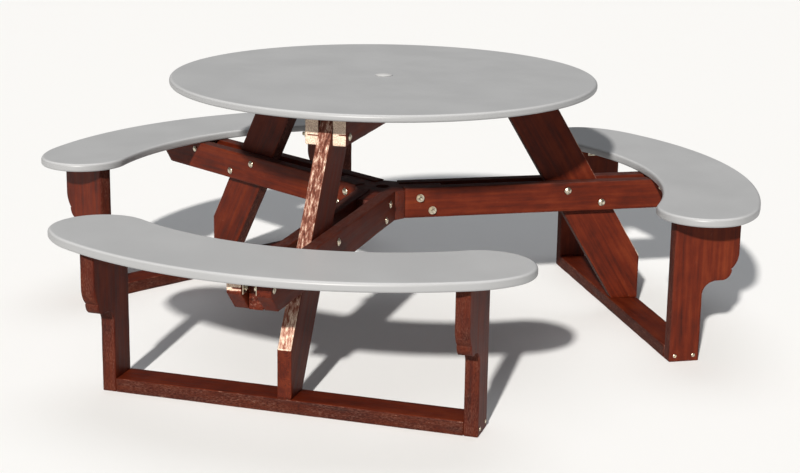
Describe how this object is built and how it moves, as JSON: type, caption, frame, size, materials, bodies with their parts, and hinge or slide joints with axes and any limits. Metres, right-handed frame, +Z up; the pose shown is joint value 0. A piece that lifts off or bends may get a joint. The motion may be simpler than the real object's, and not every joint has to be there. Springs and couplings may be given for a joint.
{
  "type": "picnic table",
  "caption": "Round outdoor picnic table with a smooth pale top and matching curved bench seats, on slanted timber legs, level arms and low timber skids.",
  "frame": {"origin": "on the ground, on the axis of the round top, under its umbrella hole", "axes": "+Z up, along the axis of the top; -Y from the axis towards the front bench, so that +X is towards the right of someone who sits outside that bench and faces the table"},
  "size_m": [2.1716, 2.0543, 0.749],
  "materials": {
    "tabletop": "satin",
    "seats": "satin",
    "plug": "satin",
    "legs": "matte",
    "arms": "matte",
    "battens": "matte",
    "skids": "matte",
    "uprights": "matte",
    "fasteners": "satin"
  },
  "bodies": {
    "frame": {"arm_front_left": "arms", "arm_front_right": "arms", "arm_left_left": "arms", "arm_left_right": "arms", "arm_right_left": "arms", "arm_right_right": "arms", "arm_spacer_front": "arms", "arm_spacer_left": "arms", "arm_spacer_right": "arms", "batten_bolts": "fasteners", "bolt_nuts": "fasteners", "bolt_washers": "fasteners", "foot_screws": "fasteners", "hub_block": "arms", "hub_bolts": "fasteners", "leg_bolts": "fasteners", "leg_front": "legs", "leg_left": "legs", "leg_right": "legs", "seat_bolt_nuts": "fasteners", "seat_bolts": "fasteners", "seat_brackets": "fasteners", "seat_front": "seats", "seat_left": "seats", "seat_right": "seats", "seat_screws": "fasteners", "skid_front": "skids", "skid_left": "skids", "skid_right": "skids", "skid_screws": "fasteners", "spacer_screws": "fasteners", "table_screws": "fasteners", "tabletop": "tabletop", "top_batten_front_left": "battens", "top_batten_front_right": "battens", "top_batten_left_left": "battens", "top_batten_left_right": "battens", "top_batten_right_left": "battens", "top_batten_right_right": "battens", "upright_front_left": "uprights", "upright_front_right": "uprights", "upright_left_left": "uprights", "upright_left_right": "uprights", "upright_right_left": "uprights", "upright_right_right": "uprights", "upright_screws": "fasteners"},
    "plug": {"umbrella_plug": "plug"}
  },
  "joints": [
    {"name": "plug_lift", "type": "slide", "parent": "frame", "child": "plug", "axis": [0, 0, 1], "range_m": [0, 0.05]}
  ]
}
